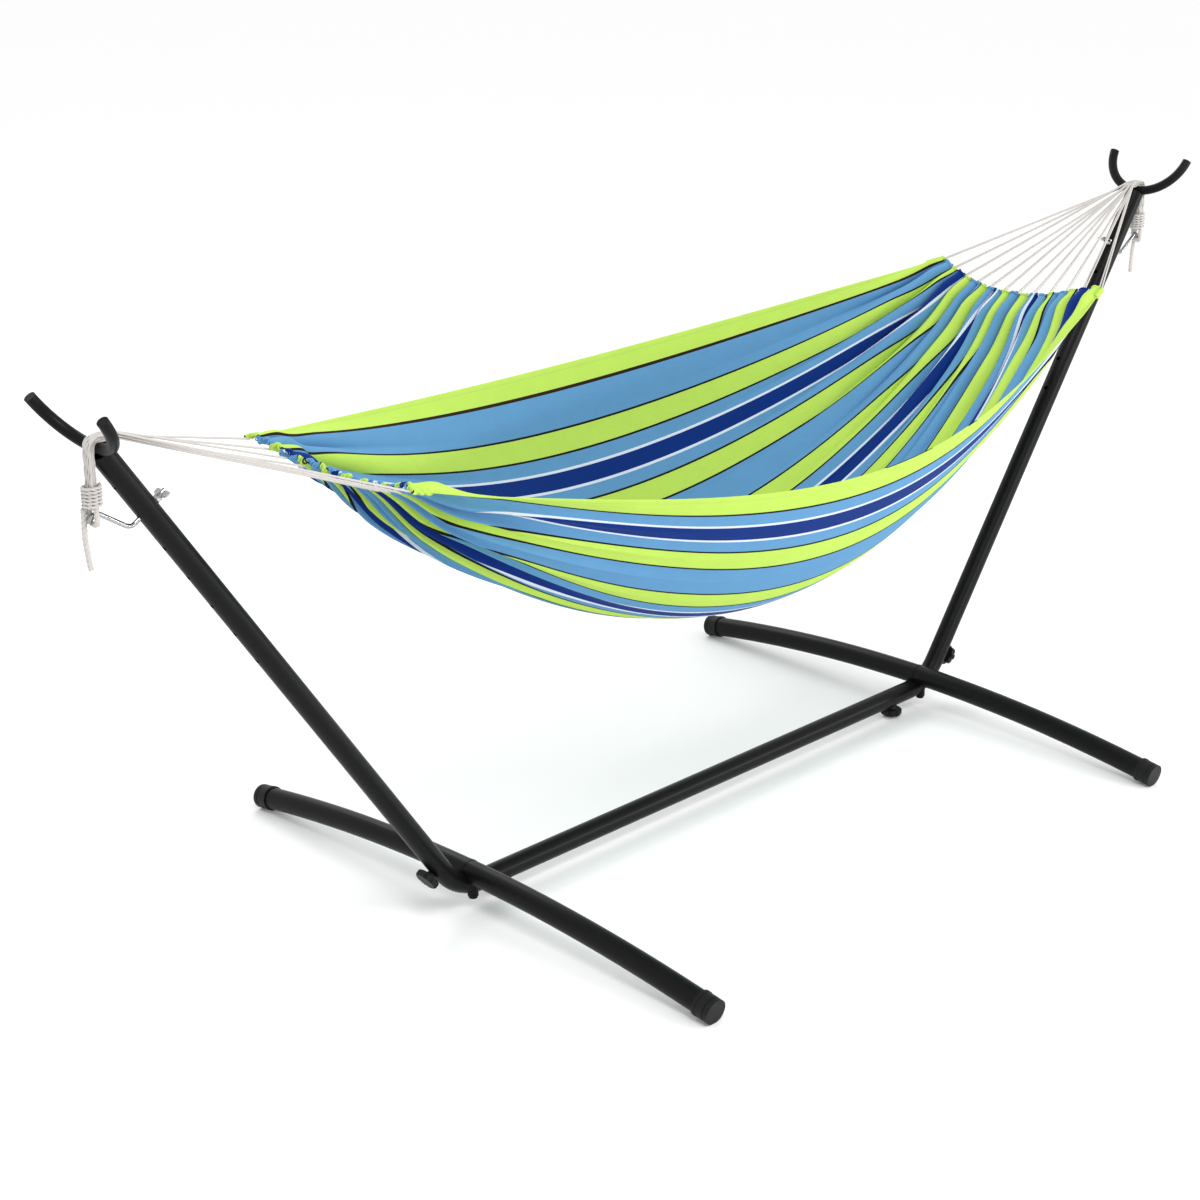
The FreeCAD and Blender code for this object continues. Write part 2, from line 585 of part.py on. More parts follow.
def bed_point(position, share):
    """Middle surface of the bed: position runs -1 to 1 along it, share -1 to 1 across."""
    root = fan_root(1)
    span = gather_point(1, share).x
    keel = 1 - position * position
    edge = edge_rise(position)
    edge_y, edge_sag = (LEFT_EDGE_Y, LEFT_EDGE_SAG) if share >= 0 else (RIGHT_EDGE_Y, RIGHT_EDGE_SAG)
    end_y = GATHER_HALF_WIDTH if share >= 0 else -GATHER_HALF_WIDTH
    side_y = end_y + (edge_y - end_y) * edge
    side_z = -EDGE_DROP - (edge_sag - EDGE_DROP) * edge
    keel_y = KEEL_Y * keel
    keel_z = -MID_DROP - (KEEL_SAG - MID_DROP) * keel
    power = 2 + KEEL_FULLNESS * keel
    y = keel_y + (side_y - keel_y) * abs(share)
    z = keel_z + (side_z - keel_z) * abs(share) ** power
    return Vector(position * span, y, root.z + z)


def bed_normal(position, share):
    step = 0.001
    along = bed_point(position + step, share) - bed_point(position - step, share)
    across = bed_point(position, share + step) - bed_point(position, share - step)
    return along.cross(across).normalize()


def make_bed():
    """Cloth of the bed as a thin closed shell with its mouth open at the top."""
    surfaces = []
    for offset in (-BED_THICKNESS / 2, BED_THICKNESS / 2):
        grid = []
        for station in range(BED_STATIONS):
            position = 2 * station / (BED_STATIONS - 1) - 1
            line = []
            for rib in range(BED_RIBS):
                share = 2 * rib / (BED_RIBS - 1) - 1
                line.append(bed_point(position, share) + bed_normal(position, share) * offset)
            grid.append(line)
        surface = Part.BSplineSurface()
        surface.interpolate(grid)
        surfaces.append(surface)
    low, high = surfaces
    faces = [low.toShape(), high.toShape()]
    u_first, u_last, v_first, v_last = low.bounds()
    for value in (u_first, u_last):
        faces.append(Part.makeRuledSurface(low.uIso(value).toShape(), high.uIso(value).toShape()))
    for value in (v_first, v_last):
        faces.append(Part.makeRuledSurface(low.vIso(value).toShape(), high.vIso(value).toShape()))
    shell = Part.makeShell(faces)
    shell.sewShape()
    bed = Part.makeSolid(Part.Shell(shell.Faces))
    if bed.Volume < 0:
        bed.reverse()
    bed = bed.cut([make_band(side) for _, side in ENDS])
    return max(bed.Solids, key=lambda solid: solid.Volume)


# ---- Assembly -------------------------------------------------------------------------------
def build_nodes():
    nodes = {"beam_tube": make_beam(), "bed_fabric": make_bed()}
    groups = {"leg_end_caps": [], "knob_weld_nuts": [], "leg_bolts": [], "leg_saddle_washers": [],
              "leg_weld_nuts": [], "rope_hook_jam_nuts": []}
    for name, side in ENDS:
        down = Z_AXIS * -1
        outward = arm_inner(side) * -1
        hook = make_saddle_hook(side)
        bundle = make_rope_bundle(side)
        band = make_band(side)
        nodes["bend_tube_" + name] = make_bend(side)
        nodes["arm_tube_" + name] = make_arm(side, hook)
        nodes["saddle_hook_" + name] = hook
        nodes["leg_tube_left_" + name] = for_side(make_near_left_leg(), side)
        nodes["leg_tube_right_" + name] = for_side(make_near_right_leg(), side)
        nodes["beam_knob_" + name] = make_knob(beam_knob_foot(side), down)
        nodes["arm_knob_" + name] = make_knob(on_arm(side, ARM_KNOB_REACH), outward)
        nodes["rope_hook_" + name] = make_rope_hook(side)
        nodes["wing_nut_" + name] = make_wing_nut(side)
        nodes["rope_bundle_" + name] = bundle
        nodes["whipping_" + name] = make_whipping(side, bundle)
        nodes["rope_eye_" + name] = make_eye(side)
        nodes["rope_tail_" + name] = make_tail("rope_tail_" + name, side)
        nodes["end_band_" + name] = band
        for index in range(CORD_COUNT):
            cord_name = "fan_cord_%s_%02d" % (name, index + 1)
            nodes[cord_name] = make_cord(cord_name, side, index, band)
        bolt, washer, nut = make_leg_fasteners(side)
        groups["leg_end_caps"] += [make_cap(side, hand) for hand in (-1, 1)]
        groups["knob_weld_nuts"].append(make_knob_nut(beam_knob_foot(side), down, X_AXIS))
        groups["knob_weld_nuts"].append(make_knob_nut(on_arm(side, ARM_KNOB_REACH), outward, arm_direction(side)))
        groups["leg_bolts"].append(bolt)
        groups["leg_saddle_washers"].append(washer)
        groups["leg_weld_nuts"].append(nut)
        groups["rope_hook_jam_nuts"].append(make_jam_nut(side))
    for name, solids in groups.items():
        nodes[name] = Part.makeCompound([solid for shape in solids for solid in shape.Solids])
    return nodes


def main():
    os.makedirs("parts", exist_ok=True)
    for name, shape in build_nodes().items():
        if not shape.isValid() or not shape.Solids:
            raise ValueError("bad solid: " + name)
        shape.exportStep(os.path.join("parts", name + ".step"))
        print(name, "solids", len(shape.Solids), "volume", round(shape.Volume))


main()
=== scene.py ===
"""Looks for the hammock on its steel stand: cloth, cords, ropes, finishes and a plain studio.

Sizes are in millimetres. Names that end in _m or _M and the add-on's own settings are in metres.
The stand and its fittings keep the frame's shapes and get their finishes here.
"""

import json
import math

import bpy
import numpy as np
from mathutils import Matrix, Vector


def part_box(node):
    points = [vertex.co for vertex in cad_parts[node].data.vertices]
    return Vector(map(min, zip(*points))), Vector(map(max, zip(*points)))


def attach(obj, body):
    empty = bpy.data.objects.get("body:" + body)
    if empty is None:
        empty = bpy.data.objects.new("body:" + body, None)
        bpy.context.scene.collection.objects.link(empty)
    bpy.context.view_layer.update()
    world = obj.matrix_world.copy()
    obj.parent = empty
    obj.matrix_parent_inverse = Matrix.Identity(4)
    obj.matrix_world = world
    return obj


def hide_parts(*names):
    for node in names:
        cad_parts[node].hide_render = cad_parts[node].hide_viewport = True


bl_info = {
    "name": "Hammock on Stand",
    "version": (1, 0, 0),
    "blender": (4, 5, 0),
    "location": "View3D > Sidebar > Hammock",
    "description": "Builds the cloth, cords, ropes, finishes and studio of a hammock on a steel stand",
    "category": "Add Mesh",
}

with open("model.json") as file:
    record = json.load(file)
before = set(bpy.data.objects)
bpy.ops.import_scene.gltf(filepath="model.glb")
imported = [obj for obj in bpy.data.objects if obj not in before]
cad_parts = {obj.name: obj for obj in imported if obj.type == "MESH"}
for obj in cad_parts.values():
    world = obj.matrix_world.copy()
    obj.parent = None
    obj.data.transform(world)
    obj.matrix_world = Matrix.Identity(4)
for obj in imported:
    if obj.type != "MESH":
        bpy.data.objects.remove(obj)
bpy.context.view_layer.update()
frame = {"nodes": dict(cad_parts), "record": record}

MM = 0.001
ENDS = (("near", -1), ("far", 1))

# ---- Gathered rope and fan, as in the part --------------------------------------------------
CORD_COUNT = 12
CORD_D = 4.2
CORD_PITCH = 1.65
ROW_PITCH = 4.1
ROWS = 3
ROPE_THICKNESS = (ROWS - 1) * ROW_PITCH + CORD_D
HOOK_D = 19.0
FAN_GAP = 1.6
WHIP_HEIGHT = 38.0
WHIP_D = 34.0
EYE_ROPE_D = 9.0
EYE_RADIUS = 9.5
EYE_DROP = 15.0
TAIL_D = 8.0
# Points of the tail, each outward, across and down from the rope's foot.
TAIL_ROUTE = ((10.0, 9.5, 0.0), (10.0, 9.5, 16.0), (9.0, 12.5, 45.0), (6.0, 12.0, 75.0), (3.6, 10.6, 97.0))

# ---- Cords and ropes as they look -----------------------------------------------------------
# A doubled cord's two strands lie side by side, then part over the last stretch to the hem.
STRAND_PART = 0.52
STRAND_STEP = 6.0
HEM_SHARE = 0.004  # share of a cord's length left free before the hem's middle
SPLINE_STEPS = 10  # points that a spline gets between two control points
TUBE_SIDES = 8
PLY_FULLNESS = 1.25  # radius of a ply over that of plies that just touch
SADDLE_PLY_R = 1.6
SADDLE_SWELL = 0.3  # how far a cord over the saddle stands past its own radius
CORNER_REACH = 2  # from a bend's corner to the next route point, in bend radii
LAY_SHIFT = 1.3  # radians from one cord's lay to the next cord's
WHIP_STEPS = 28  # points in each turn of the whipping
WHIP_SQUEEZE = 0.93  # depth of the whipping along the hammock, over its width
WHIP_SWELL = 1.05  # radius of the whipping's cord over half the height that a turn takes
WHIP_PITCH = 19.0
EYE_PITCH = 24.0
EYE_START = 0.6  # height at which the eye's two ends start, over its drop
TAIL_FULLNESS = 0.58  # radius of the laid tail over its drawn diameter
TAIL_PITCH = 26.0

# ---- Hung shape of the bed, as in the part --------------------------------------------------
EDGE_REACH, EDGE_DROP = 395.0, 133.0
MID_REACH, MID_DROP = 431.0, 172.0
GATHER_HALF_WIDTH = 205.0
LEFT_EDGE_Y, LEFT_EDGE_SAG = 404.0, 222.0
RIGHT_EDGE_Y, RIGHT_EDGE_SAG = -382.0, 268.0
KEEL_Y, KEEL_SAG = -11.0, 598.0
EDGE_TAUTNESS = 1.5
KEEL_FULLNESS = 0.6

# ---- Cloth ----------------------------------------------------------------------------------
FLAT_WIDTH = 1200.0
FLAT_LENGTH = 2000.0
STATION_EVENNESS = 0.45  # 1 spaces the rows of points evenly, 0 crowds them at the ends
STRIPE_FOLLOW = 0.85  # share of a pleat's gathered cloth that the stripes follow
# Pleats. A wander is the waves and the seed of an irregular curve, here for the near and the far end.
PLEAT_BULGE = 0.12  # sideways swell of a pleat, as a share of its pitch
PITCH_WANDER = (((7, 13, 19), 3), ((9, 14, 22), 8))
PITCH_UNEVENNESS = 0.016
DEPTH_WANDER = (((11, 17, 29), 5), ((10, 19, 27), 6))
DEPTH_UNEVENNESS = 0.3
RIDGE_POWER = 0.8  # under 1 gives round crests and sharp valleys
RIDGE_MEAN = 0.62  # mean height of a ridge, taken off so that pleats stand out to both sides
RIDGE_RISE = 120.0  # distance from the hem at which the whole mean is taken off
HEM_PLEATING = 0.45  # share of the full pleat depth at the hem
PLEAT_RISE = 55.0  # distance from the hem at which pleats are at their full depth
PLEAT_FADE_POWER = 1.5
# Broad folds behind the pleats, and the slack of the middle.
BROAD_FOLDS = 4.5
BROAD_LEAN = 0.07  # sideways sway of the folds, as a share of the half width
BROAD_LEAN_LENGTH = 160.0  # distance over which the sway moves on by one radian
BROAD_START = (30.0, 180.0)  # distances from the hem between which the folds rise
BROAD_SHIFT = (0.6, 2.1)  # radians, near end and far end
SLACK_DEPTH = 2.2
SLACK_SLANT = 0.35  # how far the slack's ripples lean across on their way along the cloth
SLACK_WANDER = ((5, 8, 12), 9)
SLACK_START = (150.0, 500.0)
EDGE_ZONE = 0.94  # share of the half width beyond which the folds die down
EDGE_STILLNESS = 0.85
# Hem along a gathered end, its loops, and the wraps at its corners.
HEM_R = 3.0
LOOP_R = 3.7
LOOP_CORD_R = 1.25
LOOP_STEPS = 18
LOOP_SIDES = 6
LOOP_STRETCH = 1.25  # length of a loop over its height
LOOP_SHIFT = 0.5  # how far a loop stands out from the hem, in loop radii
LOOP_LEAN = 0.4  # most that a loop leans sideways, in loop radii
LOOP_LEAN_STEP = 2.4  # radians from one loop's lean to the next
WRAP_R = 5.5
WRAP_LENGTH = 34.0
WRAP_STEP = 2.0
WRAP_PITCH = 24.0
# Widths of the stripes before they are scaled to the cloth, and how often their repeat comes.
LIME_BAND = 53.0
SKY_BAND = 88.0
LINE = 5.2
EDGE_LINE = 7.0  # the brown line inside the left edge's band, not scaled
ROYAL_EDGE = 32.0
WHITE_LINE = 6.5
ROYAL_BAND = 40.0
STRIPE_REPEATS = 4
STRIPE_WAVER_M = 0.0012
# Stitched side hems.
SIDE_HEM = 12.0
STITCH_PITCH = 5.0
STITCH_SHARE = 0.68  # share of the pitch that is thread
STITCH_HALF_WIDTH = 0.7
STITCH_DEPTH = 1.5  # how far a stitch sinks, in thread heights
# Threads of the cloth and yarns of the cords.
THREAD_PITCH_ACROSS_M = 0.0011
THREAD_PITCH_ALONG_M = 0.0014
YARN_PITCH_M = 0.0024
YARN_SLANT = 1.4

# ---- Default colours, linear ----------------------------------------------------------------
LIME = (0.45, 0.66, 0.1, 1)
SKY = (0.105, 0.28, 0.5, 1)
ROYAL = (0.001, 0.024, 0.175, 1)
WHITE = (0.62, 0.68, 0.78, 1)
DARK = (0.010, 0.007, 0.005, 1)
BROWN = (0.022, 0.010, 0.004, 1)
THREAD = (0.36, 0.52, 0.14, 1)
CORD_WHITE = (0.66, 0.63, 0.6, 1)
# Painted shade: the darker colour given to the hollows between the cord's yarns.
CORD_HOLLOW_PAINTED_SHADE = (0.4, 0.38, 0.36, 1)
STEEL_BLACK = (0.005, 0.005, 0.0055, 1)
PLASTIC_BLACK = (0.008, 0.008, 0.0085, 1)
PLATING = (0.38, 0.38, 0.39, 1)
ZINC = (0.42, 0.42, 0.4, 1)
STAGE_WHITE = (0.95, 0.95, 0.95, 1)

# ---- Studio ---------------------------------------------------------------------------------
FLOOR_SIZE_M = 40
SENSOR_WIDTH = 36.0
CAMERA_PLACE_M = (-3.2775, -2.9197, 2.0491)
CAMERA_AIM_M = (-0.7706, -0.4494, 0.7337)
# Each lamp's name, place, target and size in metres, and its watts.
LAMPS = (
    ("key", (-2.0, -2.6, 4.6), (0, 0, 0.5), (2.0, 1.6), 95),
    ("low_strip", (1.9, -3.0, 0.9), (0.3, 0, 0.2), (4.0, 0.12), 55),
    ("back", (1.2, 3.4, 3.2), (0, 0, 0.6), (2.4, 1.2), 40),
)


# ---- Small helpers --------------------------------------------------------------------------
def node_box(node):
    """Lowest and highest corner of a frame node, in millimetres."""
    low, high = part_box(node)
    return low / MM, high / MM


def saddle(name, side):
    """Places along the rope over a saddle, in millimetres, read from the frame's rope."""
    low, high = node_box("rope_bundle_" + name)
    outer = high.x if side > 0 else low.x
    inner = low.x if side > 0 else high.x
    return {
        "crown_z": high.z - ROPE_THICKNESS / 2,
        "down_x": outer - side * ROPE_THICKNESS / 2,
        "lead_x": inner,
        "foot_z": low.z,
    }


def fan_root(name, side):
    """Point from which a fan's cords start, in millimetres."""
    place = saddle(name, side)
    return np.array([place["lead_x"] - side * FAN_GAP, 0.0, place["crown_z"]])


def cord_offset(index):
    """Sideways and outward place of one cord in the gathered rope."""
    row = index % ROWS - (ROWS - 1) / 2
    return (index - (CORD_COUNT - 1) / 2) * CORD_PITCH, -row * ROW_PITCH


def smoothstep(low, high, value):
    """Smooth rise from 0 at low to 1 at high."""
    t = np.clip((value - low) / (high - low), 0.0, 1.0)
    return t * t * (3 - 2 * t)


def wander(values, waves, seed):
    """Smooth irregular curve between about -1 and 1, made of a few sines."""
    rng = np.random.default_rng(seed)
    total = np.zeros_like(values)
    for wave in waves:
        total = total + rng.uniform(0.5, 1.0) * np.sin(wave * values + rng.uniform(0, 2 * math.pi))
    return total / len(waves)


def end_wander(share, near, curves):
    """Irregular curve across the cloth, with its own waves and seed at either end."""
    return np.where(near, wander(share, *curves[0]), wander(share, *curves[1]))


def add_mesh(name, points, faces, material, coords):
    """Smooth mesh object from points in millimetres, with each point's place in the material in metres."""
    mesh = bpy.data.meshes.new(name)
    mesh.from_pydata((points * MM).tolist(), [], faces)
    mesh.polygons.foreach_set("use_smooth", [True] * len(mesh.polygons))
    layer = mesh.uv_layers.new(name="UVMap")
    corners = np.empty(len(mesh.loops), np.int32)
    mesh.loops.foreach_get("vertex_index", corners)
    layer.data.foreach_set("uv", coords.astype(np.float32)[corners].ravel())
    mesh.materials.append(material)
    obj = bpy.data.objects.new(name, mesh)
    bpy.context.scene.collection.objects.link(obj)
    return obj


def spline_points(points):
    """Smooth line of a NURBS spline with the given control points."""
    curve = bpy.data.curves.new("route", "CURVE")
    curve.dimensions = "3D"
    curve.resolution_u = SPLINE_STEPS
    spline = curve.splines.new("NURBS")
    spline.points.add(len(points) - 1)
    for control, point in zip(spline.points, points):
        control.co = (point[0], point[1], point[2], 1.0)
    spline.order_u = 3
    spline.use_endpoint_u = True
    holder = bpy.data.objects.new("route", curve)
    bpy.context.scene.collection.objects.link(holder)
    bpy.context.view_layer.update()
    mesh = bpy.data.meshes.new_from_object(holder.evaluated_get(bpy.context.evaluated_depsgraph_get()))
    line = np.array([vertex.co for vertex in mesh.vertices], float)
    bpy.data.objects.remove(holder)
    bpy.data.curves.remove(curve)
    bpy.data.meshes.remove(mesh)
    return line


def line_lengths(line):
    """Running length at each point of a line."""
    return np.concatenate([[0.0], np.cumsum(np.linalg.norm(np.diff(line, axis=0), axis=1))])


def place_on(line, lengths, places):
    """Point or points of a line at the given running lengths."""
    return np.stack([np.interp(places, lengths, column) for column in line.T], axis=-1)


def resample(line, step):
    """The same line with points an even step apart, and their running lengths."""
    lengths = line_lengths(line)
    count = max(int(round(lengths[-1] / step)), 2)
    stations = np.linspace(0.0, lengths[-1], count + 1)
    return place_on(line, lengths, stations), stations


def carried_frames(line):
    """Two unit vectors square to the line at each point, carried along it without twist."""
    tangents = np.gradient(line, axis=0)
    tangents /= np.linalg.norm(tangents, axis=1, keepdims=True)
    helper = np.array([0.0, 0.0, 1.0]) if abs(tangents[0][2]) < 0.9 else np.array([1.0, 0.0, 0.0])
    side = np.cross(helper, tangents[0])
    sides = []
    for tangent in tangents:
        side = side - tangent * side.dot(tangent)
        side = side / np.linalg.norm(side)
        sides.append(side)
    sides = np.array(sides)
    return sides, np.cross(tangents, sides)


def tube_geometry(line, stations, radius, sides, first=0):
    """Points, faces and material places of a capped round tube along a line."""
    across, up = carried_frames(line)
    angles = np.linspace(0, 2 * math.pi, sides, endpoint=False)
    cosines, sines = np.cos(angles)[None, :, None], np.sin(angles)[None, :, None]
    ring = across[:, None, :] * cosines + up[:, None, :] * sines
    points = (line[:, None, :] + ring * radius).reshape(-1, 3)
    coords = np.stack(np.meshgrid(stations, angles * radius, indexing="ij"), axis=-1).reshape(-1, 2)
    faces = []
    rows = len(line)
    for row in range(rows - 1):
        for col in range(sides):
            a = first + row * sides + col
            b = first + row * sides + (col + 1) % sides
            faces.append((a, b, b + sides, a + sides))
    faces.append(tuple(first + col for col in reversed(range(sides))))
    faces.append(tuple(first + (rows - 1) * sides + col for col in range(sides)))
    return points, faces, coords


def tube_bundle(lines, stations, radius, sides=TUBE_SIDES):
    """Points, faces and material places of several tubes in one mesh."""
    points, faces, coords = [], [], []
    count = 0
    for line in lines:
        more, quads, places = tube_geometry(line, stations, radius, sides, count)
        points.append(more)
        faces += quads
        coords.append(places)
        count += len(more)
    return np.concatenate(points), faces, np.concatenate(coords)


def laid_rope(name, line, radius, plies, pitch, material, step=2.5, turn=0.0, ply_r=None):
    """Rope of a few plies laid round each other along a smooth line. Full plies sink into each other."""
    line, stations = resample(line, step)
    across, up = carried_frames(line)
    ply_r = ply_r or PLY_FULLNESS * radius / (1 + 1 / math.sin(math.pi / plies))
    offset = radius - ply_r
    lanes = []
    for ply in range(plies):
        angle = turn + 2 * math.pi * (ply / plies + stations / pitch)
        lanes.append(line + offset * (across * np.cos(angle)[:, None] + up * np.sin(angle)[:, None]))
    points, faces, coords = tube_bundle(lanes, stations, ply_r)
    return add_mesh(name, points, faces, material, coords * MM)


# ---- Shape of the hung cloth ----------------------------------------------------------------
def gather_point(root, side, share):
    """Point or points of a gathered end, with share from -1 at the right to 1 at the left."""
    share = np.asarray(share, float)
    square = share * share
    reach = MID_REACH + (EDGE_REACH - MID_REACH) * square
    drop = MID_DROP + (EDGE_DROP - MID_DROP) * square
    return np.stack([root[0] - side * reach, GATHER_HALF_WIDTH * share, root[2] - drop], axis=-1)


def bed_surface(root, position, share):
    """Middle surface of the bed: position runs -1 to 1 along it, share -1 to 1 across."""
    span = gather_point(root, 1, share)[..., 0]
    top = math.sqrt(1 + EDGE_TAUTNESS ** 2)
    edge = (top - np.sqrt(1 + (EDGE_TAUTNESS * position) ** 2)) / (top - 1)
    keel = 1 - position ** 2
    left = share >= 0
    edge_y = np.where(left, LEFT_EDGE_Y, RIGHT_EDGE_Y)
    edge_sag = np.where(left, LEFT_EDGE_SAG, RIGHT_EDGE_SAG)
    end_y = np.where(left, GATHER_HALF_WIDTH, -GATHER_HALF_WIDTH)
    side_y = end_y + (edge_y - end_y) * edge
    side_z = -EDGE_DROP - (edge_sag - EDGE_DROP) * edge
    keel_y = KEEL_Y * keel
    keel_z = -MID_DROP - (KEEL_SAG - MID_DROP) * keel
    power = 2 + KEEL_FULLNESS * keel
    y = keel_y + (side_y - keel_y) * np.abs(share)
    z = keel_z + (side_z - keel_z) * np.abs(share) ** power
    return np.stack([position * span, y, root[2] + z], axis=-1)


def grid_normals(grid):
    """Unit normal at each point of a grid of points."""
    along = np.gradient(grid, axis=0)
    across = np.gradient(grid, axis=1)
    normal = np.cross(along, across)
    return normal / np.linalg.norm(normal, axis=2, keepdims=True)


def pleat_phase(position, share, pleats):
    """Place of each point in the run of pleats, whole numbers at the valleys."""
    uneven = end_wander(share, position < 0, PITCH_WANDER)
    return (share + PITCH_UNEVENNESS * uneven + 1) / 2 * pleats


def cloth_folds(grid, position, share, settings):
    """How far each point stands off the smooth surface, its share of full pleating and its pleat phase."""
    near = position < 0
    distance = (1 - np.abs(position)) * np.abs(grid[-1, :, 0])[None, :]
    phase = pleat_phase(position, share, settings.pleats)
    ridge = np.abs(np.sin(math.pi * phase)) ** RIDGE_POWER
    strength = 1 + DEPTH_UNEVENNESS * end_wander(share, near, DEPTH_WANDER)
    start = HEM_PLEATING + (1 - HEM_PLEATING) * smoothstep(0, PLEAT_RISE, distance)
    fade = np.exp(-(distance * MM / settings.pleat_reach) ** PLEAT_FADE_POWER)
    mean = RIDGE_MEAN * smoothstep(0, RIDGE_RISE, distance)
    pleating = strength * start * fade
    pleat = settings.pleat_depth / MM * pleating * (ridge - mean)
    broad_phase = math.pi * BROAD_FOLDS * (share + BROAD_LEAN * np.sin(distance / BROAD_LEAN_LENGTH))
    broad_fade = smoothstep(*BROAD_START, distance) * np.exp(-(distance * MM / settings.fold_reach) ** 2)
    broad = settings.fold_depth / MM * np.sin(broad_phase + np.where(near, *BROAD_SHIFT)) * broad_fade
    slack = SLACK_DEPTH * wander(share + SLACK_SLANT * position, *SLACK_WANDER)
    slack = slack * smoothstep(*SLACK_START, distance)
    edge = 1 - EDGE_STILLNESS * smoothstep(EDGE_ZONE, 1.0, np.abs(share))
    return (pleat + broad + slack) * edge, pleating * edge, phase


def running_length(grid, axis):
    """Length along the grid's rows or columns from their first point."""
    steps = np.linalg.norm(np.diff(grid, axis=axis), axis=2)
    pad = [(0, 0), (0, 0)]
    pad[axis] = (1, 0)
    return np.pad(np.cumsum(steps, axis=axis), pad)


def cloth_grid(settings):
    """Points of the cloth and the place of each in the flat cloth, in millimetres."""
    root = fan_root("far", 1)
    tau = np.linspace(-1, 1, settings.stations)
    crowded = np.sin(tau * math.pi / 2)
    position = (STATION_EVENNESS * tau + (1 - STATION_EVENNESS) * crowded)[:, None]
    share = np.linspace(-1, 1, settings.ribs)[None, :]
    position, share = np.broadcast_arrays(position, share)
    grid = bed_surface(root, position, share)
    folds, pleating, phase = cloth_folds(grid, position, share, settings)
    smooth = running_length(grid, 1)
    pitch = smooth[:, -1:] / settings.pleats
    across = np.gradient(grid, axis=1)
    across /= np.linalg.norm(across, axis=2, keepdims=True)
    swell = -PLEAT_BULGE * pitch * pleating * np.sin(2 * math.pi * phase)
    cloth = grid + grid_normals(grid) * folds[..., None] + across * swell[..., None]
    smooth = smooth / smooth[:, -1:]
    folded = running_length(cloth, 1)
    gathered = folded / folded[:, -1:] - smooth
    # The mean over one pleat is the slow drift of the stripes. It is taken out, so that they run straight.
    window = settings.ribs // settings.pleats | 1
    padded = np.pad(gathered, [(0, 0), (window // 2, window // 2)], mode="edge")
    sums = np.cumsum(np.pad(padded, [(0, 0), (1, 0)]), axis=1)
    drift = (sums[:, window:] - sums[:, :-window]) / window
    width = FLAT_WIDTH * (1 - smooth - STRIPE_FOLLOW * (gathered - drift))
    length = running_length(cloth, 0)
    length *= FLAT_LENGTH / length[-1:, :]
    return cloth, np.stack([width, length], axis=-1)


# ---- Materials ------------------------------------------------------------------------------
def new_material(name):
    """Material with its Principled shader, a function that adds a node, and the tree's links."""
    material = bpy.data.materials.new(name)
    material.use_nodes = True
    tree = material.node_tree
    shader = tree.nodes["Principled BSDF"]

    def add(kind, inputs=None, **settings):
        """Adds a node. Each input is a constant or another node's output."""
        node = tree.nodes.new(kind)
        for key, value in settings.items():
            setattr(node, key, value)
        for key, value in (inputs or {}).items():
            if isinstance(value, bpy.types.NodeSocket):
                tree.links.new(value, node.inputs[key])
            else:
                node.inputs[key].default_value = value
        return node

    return material, shader, add, tree.links


def maths(add, operation, *values):
    """Output of a new math node. Each value is a number or another node's output."""
    return add("ShaderNodeMath", dict(enumerate(values)), operation=operation).outputs["Value"]


def mixed(add, share, first, second, blend="MIX"):
    """Output of a new colour mix. Its colour sockets are 6 and 7, and its colour output is 2."""
    inputs = {0: share, 6: first, 7: second}
    return add("ShaderNodeMix", inputs, data_type="RGBA", blend_type=blend).outputs[2]


def set_shader(shader, **values):
    """Sets the shader's inputs, with underscores for the spaces in their names."""
    for key, value in values.items():
        shader.inputs[key.replace("_", " ")].default_value = value


def black_steel(colours):
    """Satin black powder coat with a fine orange peel."""
    material, shader, add, links = new_material("black_powder_coat")
    place = add("ShaderNodeTexCoord")
    set_shader(shader, Base_Color=colours.steel, Specular_IOR_Level=0.11)
    peel = add("ShaderNodeTexNoise", {"Vector": place.outputs["Object"], "Scale": 900.0, "Detail": 3.0})
    patches = add("ShaderNodeTexNoise", {"Vector": place.outputs["Object"], "Scale": 9.0, "Detail": 4.0})
    rough = add("ShaderNodeMapRange", {"Value": patches.outputs["Fac"], "To Min": 0.3, "To Max": 0.4})
    bump = add("ShaderNodeBump", {"Height": peel.outputs["Fac"], "Strength": 0.05, "Distance": 0.0003})
    links.new(rough.outputs["Result"], shader.inputs["Roughness"])
    links.new(bump.outputs["Normal"], shader.inputs["Normal"])
    return material


def black_plastic(colours):
    """Black moulded plastic with a fine grain."""
    material, shader, add, links = new_material("black_moulded_plastic")
    place = add("ShaderNodeTexCoord")
    set_shader(shader, Base_Color=colours.plastic, Specular_IOR_Level=0.15)
    grain = add("ShaderNodeTexNoise", {"Vector": place.outputs["Object"], "Scale": 1500.0, "Detail": 2.0})
    rough = add("ShaderNodeMapRange", {"Value": grain.outputs["Fac"], "To Min": 0.42, "To Max": 0.52})
    bump = add("ShaderNodeBump", {"Height": grain.outputs["Fac"], "Strength": 0.12, "Distance": 0.0002})
    links.new(rough.outputs["Result"], shader.inputs["Roughness"])
    links.new(bump.outputs["Normal"], shader.inputs["Normal"])
    return material


def bright_metal(name, colour, low, high):
    """Plated metal with soft smears in its polish."""
    material, shader, add, links = new_material(name)
    place = add("ShaderNodeTexCoord")
    set_shader(shader, Base_Color=colour, Metallic=1.0)
    smear = add("ShaderNodeTexNoise", {"Vector": place.outputs["Object"], "Scale": 140.0, "Detail": 5.0})
    rough = add("ShaderNodeMapRange", {"Value": smear.outputs["Fac"], "To Min": low, "To Max": high})
    links.new(rough.outputs["Result"], shader.inputs["Roughness"])
    return material


